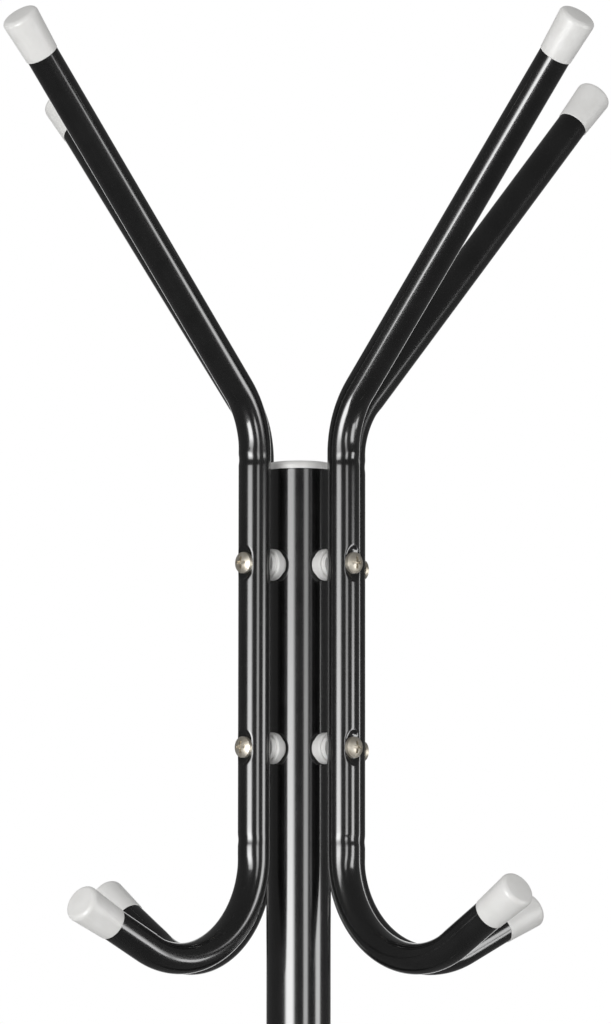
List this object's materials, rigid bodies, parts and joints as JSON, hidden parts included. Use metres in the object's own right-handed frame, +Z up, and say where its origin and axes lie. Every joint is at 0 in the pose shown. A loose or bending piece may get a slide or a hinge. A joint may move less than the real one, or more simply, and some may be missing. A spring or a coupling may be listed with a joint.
{
  "type": "free-standing coat stand",
  "caption": "Free-standing hat and coat stand: a tubular steel pole with bent tube arms and legs bolted round it on round spacers, with flared plastic caps on every tube end.",
  "frame": {"origin": "centre of the pole's axis on the floor, under the four feet", "axes": "+Z up along the pole; the four arms and four legs point along -X, -Y, +X and +Y, with the +X arm turned 9 degrees towards -Y and the +Y arm 3 degrees towards +X"},
  "size_m": [0.5882, 0.5882, 1.7525],
  "materials": {
    "enamel": "glossy black stoved enamel on steel tube",
    "plastic": "smooth moulded white plastic",
    "nickel": "nickel plated steel, slightly warm",
    "zinc": "yellow zinc plated steel"
  },
  "bodies": {
    "root": {"pole": "enamel", "pole_top_cap": "plastic", "pole_bottom_cap": "plastic", "arm_left": "enamel", "arm_front": "enamel", "arm_right": "enamel", "arm_back": "enamel", "arm_cap_left": "plastic", "arm_cap_front": "plastic", "arm_cap_right": "plastic", "arm_cap_back": "plastic", "hook_cap_left": "plastic", "hook_cap_front": "plastic", "hook_cap_right": "plastic", "hook_cap_back": "plastic", "upper_spacer_left": "plastic", "upper_spacer_front": "plastic", "upper_spacer_right": "plastic", "upper_spacer_back": "plastic", "lower_spacer_left": "plastic", "lower_spacer_front": "plastic", "lower_spacer_right": "plastic", "lower_spacer_back": "plastic", "leg_left": "enamel", "leg_front": "enamel", "leg_right": "enamel", "leg_back": "enamel", "leg_cap_left": "plastic", "leg_cap_front": "plastic", "leg_cap_right": "plastic", "leg_cap_back": "plastic", "foot_left": "plastic", "foot_front": "plastic", "foot_right": "plastic", "foot_back": "plastic", "leg_spacers_left": "plastic", "leg_spacers_front": "plastic", "leg_spacers_right": "plastic", "leg_spacers_back": "plastic", "arm_screws": "nickel", "arm_rivet_nuts": "zinc", "leg_screws": "nickel", "leg_rivet_nuts": "zinc"}
  },
  "joints": []
}
